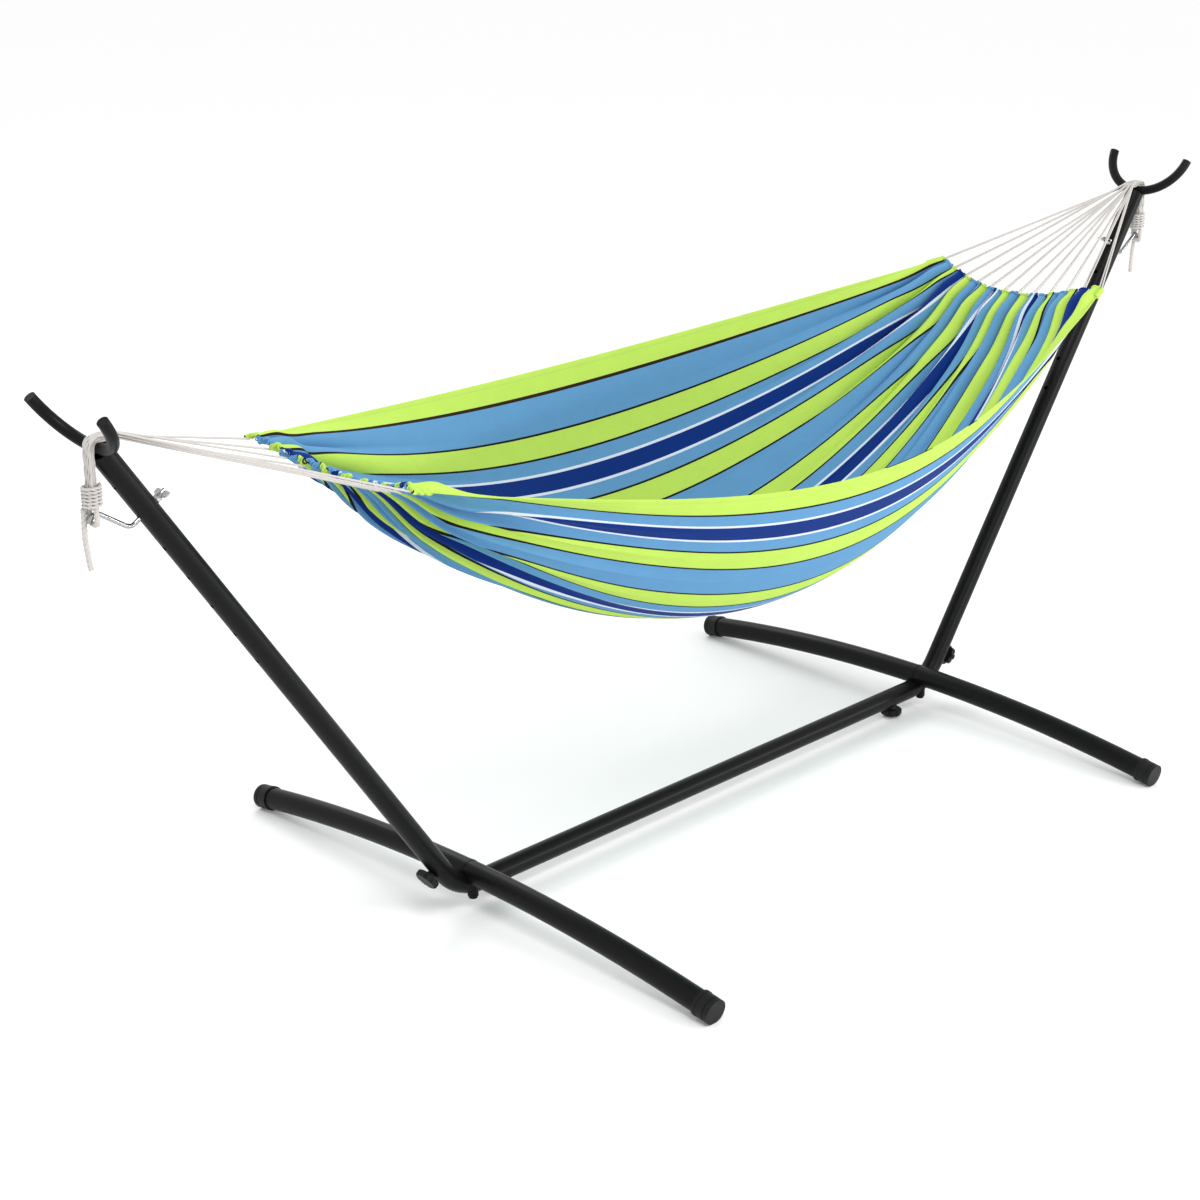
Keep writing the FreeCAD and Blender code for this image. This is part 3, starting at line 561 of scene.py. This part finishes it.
def stripe_ramp(colours):
    """One repeat of the stripes as ramp stops: lime, sky, lime, then the royal group."""
    half_group = [(colours.sky, ROYAL_EDGE), (colours.white, WHITE_LINE)]
    group = half_group + [(colours.royal, ROYAL_BAND)] + half_group[::-1]
    line = [(colours.dark_line, LINE)]
    lime = [(colours.lime, LIME_BAND)]
    bands = lime + line + [(colours.sky, SKY_BAND)] + line + lime + line + group + line
    total = sum(width for _, width in bands)
    stops = []
    reached = 0.0
    for colour, width in bands:
        stops.append((reached / total, colour))
        reached += width
    return stops, total


def striped_cloth(colours):
    """Woven cotton: lengthwise stripes, fine cross threads, stitched side hems and a soft nap."""
    material, shader, add, links = new_material("striped_cloth")
    uv = add("ShaderNodeTexCoord").outputs["UV"]
    split = add("ShaderNodeSeparateXYZ", {"Vector": uv})
    across, along = split.outputs["X"], split.outputs["Y"]

    # Stripes, with a slight waver, and the brown line inside the left edge's band.
    stops, repeat = stripe_ramp(colours)
    whole = STRIPE_REPEATS * repeat + LIME_BAND
    waver = add("ShaderNodeTexNoise", {"Vector": uv, "Scale": 3.0, "Detail": 2.0}).outputs["Fac"]
    shift = maths(add, "MULTIPLY_ADD", waver, STRIPE_WAVER_M, -STRIPE_WAVER_M / 2)
    moved = maths(add, "ADD", across, shift)
    scaled = maths(add, "MULTIPLY", moved, whole / repeat / (FLAT_WIDTH * MM))
    ramp = add("ShaderNodeValToRGB", {"Fac": maths(add, "FRACT", scaled)})
    ramp.color_ramp.interpolation = "CONSTANT"
    for index, (place, colour) in enumerate(stops):
        stop = ramp.color_ramp.elements[index] if index < 2 else ramp.color_ramp.elements.new(place)
        stop.position = place
        stop.color = colour
    centre = (LIME_BAND * FLAT_WIDTH / whole + EDGE_LINE / 2) * MM
    edge_line = maths(add, "COMPARE", across, centre, EDGE_LINE / 2 * MM)
    edged = mixed(add, edge_line, ramp.outputs["Color"], colours.edge_line)

    # Dashes of thread along both side hems.
    inner = maths(add, "PINGPONG", across, FLAT_WIDTH / 2 * MM)
    seam = maths(add, "COMPARE", inner, SIDE_HEM * MM, STITCH_HALF_WIDTH * MM)
    dashes = maths(add, "MULTIPLY", along, 1 / (STITCH_PITCH * MM))
    dash = maths(add, "LESS_THAN", maths(add, "FRACT", dashes), STITCH_SHARE)
    stitch = maths(add, "MULTIPLY", seam, dash)
    sewn = mixed(add, stitch, edged, colours.thread)

    # Uneven threads and worn patches darken and lighten the colours.
    stretch = add("ShaderNodeMapping", {"Vector": uv, "Scale": (900.0, 40.0, 1.0)}).outputs["Vector"]
    slub = add("ShaderNodeTexNoise", {"Vector": stretch, "Scale": 1.0, "Detail": 3.0}).outputs["Fac"]
    tone = add("ShaderNodeMapRange", {"Value": slub, "To Min": 0.9, "To Max": 1.08}).outputs["Result"]
    mottle = add("ShaderNodeTexNoise", {"Vector": uv, "Scale": 14.0, "Detail": 5.0}).outputs["Fac"]
    fade = add("ShaderNodeMapRange", {"Value": mottle, "To Min": 0.93, "To Max": 1.06}).outputs["Result"]
    shade = maths(add, "MULTIPLY", tone, fade)
    links.new(mixed(add, 1.0, sewn, shade, "MULTIPLY"), shader.inputs["Base Color"])

    # Weave and stitches as relief.
    wave_across = maths(add, "PINGPONG", maths(add, "MULTIPLY", across, 1 / THREAD_PITCH_ACROSS_M), 0.5)
    wave_along = maths(add, "PINGPONG", maths(add, "MULTIPLY", along, 1 / THREAD_PITCH_ALONG_M), 0.5)
    threads = maths(add, "ADD", maths(add, "MULTIPLY", wave_across, wave_along), slub)
    relief = maths(add, "MULTIPLY_ADD", stitch, -STITCH_DEPTH, threads)
    bump = add("ShaderNodeBump", {"Height": relief, "Strength": 0.35, "Distance": 0.0004})
    links.new(bump.outputs["Normal"], shader.inputs["Normal"])
    set_shader(shader, Roughness=0.86, Specular_IOR_Level=0.12, Sheen_Weight=0.03, Sheen_Roughness=0.5)
    return material


def white_rope(colours):
    """Twisted cotton cord: slanting yarns and a little fluff, with painted shade in the hollows between the
    yarns.
    """
    material, shader, add, links = new_material("white_rope")
    uv = add("ShaderNodeTexCoord").outputs["UV"]
    split = add("ShaderNodeSeparateXYZ", {"Vector": uv})
    slant = maths(add, "MULTIPLY_ADD", split.outputs["Y"], YARN_SLANT, split.outputs["X"])
    ridge = maths(add, "PINGPONG", maths(add, "MULTIPLY", slant, 1 / YARN_PITCH_M), 0.5)
    fluff = add("ShaderNodeTexNoise", {"Vector": uv, "Scale": 1400.0, "Detail": 4.0}).outputs["Fac"]
    relief = maths(add, "MULTIPLY_ADD", fluff, 0.5, ridge)
    # Painted shade: the hollows between the yarns get the darker colour and the raised yarns get the cord's
    # colour.
    tone = add("ShaderNodeMapRange", {"Value": relief, "From Min": 0.15, "From Max": 0.7})
    colour = mixed(add, tone.outputs["Result"], colours.cord_hollow_painted_shade, colours.cord)
    links.new(colour, shader.inputs["Base Color"])
    bump = add("ShaderNodeBump", {"Height": relief, "Strength": 0.6, "Distance": 0.0006})
    links.new(bump.outputs["Normal"], shader.inputs["Normal"])
    set_shader(shader, Roughness=0.9, Specular_IOR_Level=0.2, Sheen_Weight=0.05, Sheen_Roughness=0.6)
    return material


MAKERS = {
    "black_steel": black_steel,
    "black_plastic": black_plastic,
    "zinc_steel": lambda colours: bright_metal("zinc_plate", colours.zinc, 0.26, 0.4),
    "chrome_steel": lambda colours: bright_metal("chrome_plate", colours.plating, 0.08, 0.18),
    "striped_cloth": striped_cloth,
    "white_cord": white_rope,
}


def finish_for(slot_name):
    """The material of a slot, made the first time that it is asked for."""
    key = "hammock_" + slot_name
    found = bpy.data.materials.get(key)
    if found is None:
        found = MAKERS[slot_name](bpy.context.scene.hammock_colours)
        found.name = key
    return found


# ---- Pieces ---------------------------------------------------------------------------------
def finish_stand():
    """Gives every frame node the finish of its slot."""
    for part in frame["record"]["subparts"]:
        obj = frame["nodes"][part["node"]]
        obj.data.materials.clear()
        obj.data.materials.append(finish_for(part["material_slot"]))


def build_cloth(settings):
    """Hung cloth with its hems, loops and corner wraps."""
    cloth, flat = cloth_grid(settings)
    rows, cols = cloth.shape[:2]
    index = np.arange(rows * cols).reshape(rows, cols)
    corners = (index[:-1, :-1], index[1:, :-1], index[1:, 1:], index[:-1, 1:])
    faces = np.stack(corners, axis=-1).reshape(-1, 4).tolist()
    material = finish_for("striped_cloth")
    bed = add_mesh("bed_cloth", cloth.reshape(-1, 3), faces, material, flat.reshape(-1, 2) * MM)
    solid = bed.modifiers.new("thickness", "SOLIDIFY")
    solid.thickness = settings.thickness
    solid.offset = 0.0
    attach(bed, "hammock")
    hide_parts("bed_fabric")
    hems = []
    for name, side in ENDS:
        row = 0 if side < 0 else rows - 1
        hems += build_hem(name, side, cloth[row], flat[row], settings.loops)
        hems += build_corner_wraps(name, cloth[::-side])


def build_hem(name, side, edge, flat, loop_count):
    """Rolled hem along a gathered end, and the row of small loops that hold it."""
    material = finish_for("striped_cloth")
    lengths = line_lengths(edge)
    points, faces, _ = tube_geometry(edge, lengths, HEM_R, TUBE_SIDES)
    roll = add_mesh("end_hem_" + name, points, faces, material, np.repeat(flat * MM, TUBE_SIDES, axis=0))
    angles = np.linspace(0, 2 * math.pi, LOOP_STEPS + 1)
    rings, spots = [], []
    for loop in range(loop_count):
        place = (loop + 0.5) / loop_count * lengths[-1]
        lean = LOOP_LEAN * math.sin(LOOP_LEAN_STEP * loop)
        ring = np.stack([LOOP_STRETCH * np.cos(angles) + side * LOOP_SHIFT,
                         lean * np.sin(angles),
                         np.sin(angles)], axis=1)
        rings.append(place_on(edge, lengths, place) + LOOP_R * ring)
        spots.append(place_on(flat, lengths, place))
    points, faces, _ = tube_bundle(rings, angles, LOOP_CORD_R, LOOP_SIDES)
    coords = np.repeat(np.array(spots) * MM, len(points) // loop_count, axis=0)
    loops = add_mesh("end_loops_" + name, points, faces, material, coords)
    for piece in (roll, loops):
        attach(piece, "hammock")
    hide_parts("end_band_" + name)
    return [roll, loops]


def build_corner_wraps(name, cloth):
    """Twist of cloth at each corner of a gathered end, along the first stretch of the side edge."""
    material = finish_for("striped_cloth")
    wraps = []
    for hand, col in (("right", 0), ("left", -1)):
        edge, stations = resample(cloth[:, col], WRAP_STEP)
        line = edge[stations <= WRAP_LENGTH]
        wrap = laid_rope("corner_wrap_%s_%s" % (name, hand), line, WRAP_R, 2, WRAP_PITCH, material)
        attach(wrap, "hammock")
        wraps.append(wrap)
    return wraps


def build_fan(name, side, settings):
    """Doubled cords from the saddle to the hem."""
    root = fan_root(name, side)
    middle = (CORD_COUNT - 1) / 2
    for index in range(CORD_COUNT):
        across, out = cord_offset(index)
        share = (index - middle) / middle * (1 - CORD_D / GATHER_HALF_WIDTH)
        start = root + np.array([0.0, across, out])
        stop = gather_point(root, side, share)
        route = [start, (start + stop) / 2, stop - (stop - start) * HEM_SHARE]
        line = spline_points(route)
        cord = strand_pair("fan_rope_%s_%02d" % (name, index + 1), line, settings)
        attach(cord, "hammock")
        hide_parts("fan_cord_%s_%02d" % (name, index + 1))


def strand_pair(name, line, settings):
    """Two strands along a line, touching at first and parted sideways at the end."""
    line, stations = resample(line, STRAND_STEP)
    travel = stations / stations[-1]
    radius = settings.strand / MM / 2
    parting = np.clip((travel - STRAND_PART) / (1 - STRAND_PART), 0, 1)
    apart = radius + (settings.hem_spread / MM - radius) * parting
    sideways = apart[:, None] * np.array([0.0, 1.0, 0.0])
    points, faces, coords = tube_bundle([line - sideways, line + sideways], stations, radius)
    return add_mesh(name, points, faces, finish_for("white_cord"), coords * MM)


def build_saddle_rope(name, side, settings):
    """Gathered cords over the saddle, whipping, eye and tail."""
    place = saddle(name, side)
    material = finish_for("white_cord")
    turn_r = HOOK_D / 2 + ROPE_THICKNESS / 2
    pieces = []
    for index in range(CORD_COUNT):
        across, out = cord_offset(index)
        corner = np.array([place["down_x"] + side * out, across, place["crown_z"] + out])
        reach = CORNER_REACH * (turn_r + out)
        route = [
            np.array([place["lead_x"], across, corner[2]]),
            corner - np.array([side * reach, 0, 0]),
            corner,
            corner - np.array([0, 0, reach]),
            np.array([corner[0], across, place["foot_z"]]),
        ]
        pieces.append(laid_rope("saddle_rope_%s_%02d" % (name, index + 1), spline_points(route),
                                CORD_D / 2 + SADDLE_SWELL, 2, settings.lay_pitch / MM, material, step=2.0,
                                turn=index * LAY_SHIFT, ply_r=SADDLE_PLY_R))
    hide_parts("rope_bundle_" + name)
    foot = np.array([place["down_x"], 0.0, place["foot_z"]])
    pieces.append(build_whipping(name, foot, settings.whip_turns))
    pieces.append(build_eye(name, foot))
    for piece in pieces:
        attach(piece, "stand")
    build_tail(name, side, foot)


def build_whipping(name, foot, turns):
    """Close turns of cord wound round the gathered rope."""
    cord_r = WHIP_HEIGHT / (turns + 1) / 2
    steps = turns * WHIP_STEPS
    angle = np.linspace(0, 2 * math.pi * turns, steps + 1)
    radius = WHIP_D / 2 - cord_r
    height = cord_r + (WHIP_HEIGHT - 2 * cord_r) * np.linspace(0, 1, steps + 1)
    line = foot + np.stack([radius * WHIP_SQUEEZE * np.cos(angle), radius * np.sin(angle), height], axis=1)
    whipping = laid_rope("whipping_rope_" + name, line, cord_r * WHIP_SWELL, 2, WHIP_PITCH,
                         finish_for("white_cord"), step=2.0)
    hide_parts("whipping_" + name)
    return whipping


def build_eye(name, foot):
    """Loop of thick rope below the whipping, which the rope hook holds."""
    drop = np.array([0.0, 0.0, EYE_DROP])
    left = foot + np.array([0.0, EYE_RADIUS, 0.0])
    right = foot - np.array([0.0, EYE_RADIUS, 0.0])
    low = np.array([0.0, 0.0, EYE_RADIUS])
    route = [
        right + drop * EYE_START,
        right - drop,
        right - drop - low,
        left - drop - low,
        left - drop,
        left + drop * EYE_START,
    ]
    eye = laid_rope("rope_eye_" + name + "_rope", spline_points(route), EYE_ROPE_D / 2, 3, EYE_PITCH,
                    finish_for("white_cord"), step=1.5)
    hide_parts("rope_eye_" + name)
    return eye


def build_tail(name, side, foot):
    """Loose end of the rope, hanging beside the eye."""
    route = [foot + np.array([side * out, across, -down]) for out, across, down in TAIL_ROUTE]
    line = spline_points(route)
    tail = laid_rope("tail_rope_" + name, line, TAIL_FULLNESS * TAIL_D, 3, TAIL_PITCH,
                     finish_for("white_cord"), step=2.0)
    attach(tail, "stand")
    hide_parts("rope_tail_" + name)


# ---- Stage ----------------------------------------------------------------------------------
def aim(obj, place_m, target_m):
    """Puts a lamp or camera at a place, turned towards a target."""
    obj.location = place_m
    obj.rotation_euler = (Vector(target_m) - Vector(place_m)).to_track_quat("-Z", "Y").to_euler()
    bpy.context.scene.collection.objects.link(obj)


def area_light(name, place_m, target_m, size_m, power):
    """Adds a rectangular lamp. Power is in watts."""
    data = bpy.data.lights.new(name, "AREA")
    data.shape = "RECTANGLE"
    data.size, data.size_y = size_m
    data.energy = power
    aim(bpy.data.objects.new(name, data), place_m, target_m)


def build_stage(settings):
    """Pale seamless floor, even sky light and soft lamps."""
    material, shader, _, _ = new_material("studio_floor")
    set_shader(shader, Base_Color=settings.floor, Roughness=0.6)
    bpy.ops.mesh.primitive_plane_add(size=FLOOR_SIZE_M)
    floor = bpy.context.object
    floor.name = "studio_floor"
    floor.data.materials.append(material)
    world = bpy.data.worlds.new("studio")
    world.use_nodes = True
    background = world.node_tree.nodes["Background"]
    set_shader(background, Color=(1, 1, 1, 1), Strength=settings.sky_strength)
    bpy.context.scene.world = world
    bpy.context.scene.view_settings.view_transform = "Standard"
    for name, place_m, target_m, size_m, power in LAMPS:
        area_light(name, place_m, target_m, size_m, power * settings.lamp_strength)


def build_camera(settings):
    """Camera that looks at the hammock from its near right corner."""
    data = bpy.data.cameras.new("view")
    data.sensor_width = SENSOR_WIDTH
    data.lens = settings.lens
    camera = bpy.data.objects.new("view", data)
    aim(camera, CAMERA_PLACE_M, CAMERA_AIM_M)
    bpy.context.scene.camera = camera


# ---- Add-on ---------------------------------------------------------------------------------
def length_property(name, description, default, low=0.0):
    """Length in metres, with its lowest value."""
    return bpy.props.FloatProperty(name=name, description=description, default=default, min=low, precision=4,
                                   subtype="DISTANCE", unit="LENGTH")


def colour_property(name, description, default):
    """Linear colour with alpha."""
    return bpy.props.FloatVectorProperty(name=name, description=description, default=default, size=4,
                                         min=0.0, max=1.0, subtype="COLOR")


class HammockClothSettings(bpy.types.PropertyGroup):
    """Sizes of the cloth, its pleats and its folds"""

    stations: bpy.props.IntProperty(
        name="Stations along", description="Rows of points from the near end to the far end",
        default=181, min=21)
    ribs: bpy.props.IntProperty(
        name="Ribs across", description="Points in each row, from one side edge to the other",
        default=457, min=41)
    pleats: bpy.props.IntProperty(
        name="Pleats", description="Pleats in each gathered end", default=19, min=3)
    pleat_depth: length_property(
        "Pleat depth", "Height of a full pleat from valley to crest", 0.03)
    pleat_reach: length_property(
        "Pleat reach", "Distance from the hem over which the pleats die out", 0.27, 0.01)
    fold_depth: length_property(
        "Fold depth", "Height of the broad folds behind the pleats", 0.009)
    fold_reach: length_property(
        "Fold reach", "Distance from the hem over which the broad folds die out", 0.43, 0.01)
    thickness: length_property(
        "Cloth thickness", "Thickness of the woven cloth", 0.0016, 0.0002)
    loops: bpy.props.IntProperty(
        name="Hem loops", description="Small loops along each gathered end", default=38, min=1)


class HammockRopeSettings(bpy.types.PropertyGroup):
    """Sizes of the cords and ropes"""

    strand: length_property(
        "Strand diameter", "Diameter of one strand of a doubled cord", 0.0031, 0.0005)
    hem_spread: length_property(
        "Spread at the hem", "How far each strand stands from its cord's middle at the hem", 0.003)
    lay_pitch: length_property(
        "Lay pitch", "Length of one turn of the plies in the rope over a saddle", 0.045, 0.01)
    whip_turns: bpy.props.IntProperty(
        name="Whipping turns", description="Turns of cord round each gathered rope", default=6, min=2)


class HammockColours(bpy.types.PropertyGroup):
    """Colours of the cloth, the cords and the stand"""

    lime: colour_property("Lime", "Lime stripes and side bands", LIME)
    sky: colour_property("Sky blue", "Light blue stripes", SKY)
    royal: colour_property("Royal blue", "Dark blue stripes", ROYAL)
    white: colour_property("White line", "White lines beside the dark blue stripes", WHITE)
    dark_line: colour_property("Dark line", "Fine dark lines between the stripes", DARK)
    edge_line: colour_property("Edge line", "Brown line inside the left side band", BROWN)
    thread: colour_property("Thread", "Stitching of the side hems", THREAD)
    cord: colour_property("Cord", "Raised yarns of the cords", CORD_WHITE)
    # Painted shade for the hollows between the yarns.
    cord_hollow_painted_shade: colour_property("Cord shade", "Hollows between the yarns", CORD_HOLLOW_PAINTED_SHADE)
    steel: colour_property("Steel", "Powder coat of the stand", STEEL_BLACK)
    plastic: colour_property("Plastic", "Knobs and end caps", PLASTIC_BLACK)
    plating: colour_property("Chrome", "Rope hooks and wing nuts", PLATING)
    zinc: colour_property("Zinc", "Nuts behind the knobs and hooks", ZINC)


class HammockStudioSettings(bpy.types.PropertyGroup):
    """Floor, light and lens of the studio"""

    floor: colour_property("Floor", "Colour of the studio floor", STAGE_WHITE)
    sky_strength: bpy.props.FloatProperty(
        name="Sky strength", description="Even light from all round", default=1.03, min=0.0)
    lamp_strength: bpy.props.FloatProperty(
        name="Lamp strength", description="Share of each lamp's power",
        default=1.0, min=0.0, subtype="FACTOR")
    lens: bpy.props.FloatProperty(
        name="Lens", description="Focal length of the view", default=73.77, min=10.0, unit="CAMERA")


class HAMMOCK_OT_finishes(bpy.types.Operator):
    """Give the stand and its fittings their finishes"""

    bl_idname = "hammock.finishes"
    bl_label = "Stand finishes"

    def execute(self, context):
        finish_stand()
        return {"FINISHED"}


class HAMMOCK_OT_cloth(bpy.types.Operator):
    """Build the hung cloth with its pleats, hems and loops"""

    bl_idname = "hammock.cloth"
    bl_label = "Cloth"

    def execute(self, context):
        build_cloth(context.scene.hammock_cloth)
        return {"FINISHED"}


class HAMMOCK_OT_fans(bpy.types.Operator):
    """Build the two fans of doubled cords"""

    bl_idname = "hammock.fans"
    bl_label = "Fans of cord"

    def execute(self, context):
        for name, side in ENDS:
            build_fan(name, side, context.scene.hammock_rope)
        return {"FINISHED"}


class HAMMOCK_OT_saddle_ropes(bpy.types.Operator):
    """Build the rope over each saddle with its whipping, eye and tail"""

    bl_idname = "hammock.saddle_ropes"
    bl_label = "Saddle ropes"

    def execute(self, context):
        for name, side in ENDS:
            build_saddle_rope(name, side, context.scene.hammock_rope)
        return {"FINISHED"}


class HAMMOCK_OT_stage(bpy.types.Operator):
    """Set up the floor, the lamps and the camera"""

    bl_idname = "hammock.stage"
    bl_label = "Studio"

    def execute(self, context):
        build_stage(context.scene.hammock_studio)
        build_camera(context.scene.hammock_studio)
        return {"FINISHED"}


OPERATORS = (
    HAMMOCK_OT_finishes,
    HAMMOCK_OT_cloth,
    HAMMOCK_OT_fans,
    HAMMOCK_OT_saddle_ropes,
    HAMMOCK_OT_stage,
)


SETTINGS = {
    "hammock_cloth": HammockClothSettings,
    "hammock_rope": HammockRopeSettings,
    "hammock_colours": HammockColours,
    "hammock_studio": HammockStudioSettings,
}


class HAMMOCK_PT_panel(bpy.types.Panel):
    """Sidebar panel with the build steps in order, then their settings"""

    bl_idname = "HAMMOCK_PT_panel"
    bl_label = "Hammock"
    bl_space_type = "VIEW_3D"
    bl_region_type = "UI"
    bl_category = "Hammock"

    def draw(self, context):
        for operator in OPERATORS:
            self.layout.operator(operator.bl_idname)
        for group in SETTINGS:
            settings = getattr(context.scene, group)
            box = self.layout.box()
            for name in settings.__annotations__:
                box.prop(settings, name)


CLASSES = (*SETTINGS.values(), *OPERATORS, HAMMOCK_PT_panel)


def register():
    for cls in CLASSES:
        bpy.utils.register_class(cls)
    for name, cls in SETTINGS.items():
        setattr(bpy.types.Scene, name, bpy.props.PointerProperty(type=cls))


def unregister():
    for name in SETTINGS:
        delattr(bpy.types.Scene, name)
    for cls in reversed(CLASSES):
        bpy.utils.unregister_class(cls)


def main():
    """Builds everything in order."""
    register()
    bpy.ops.hammock.finishes()
    bpy.ops.hammock.cloth()
    bpy.ops.hammock.fans()
    bpy.ops.hammock.saddle_ropes()
    bpy.ops.hammock.stage()


if __name__ == "__main__":
    main()
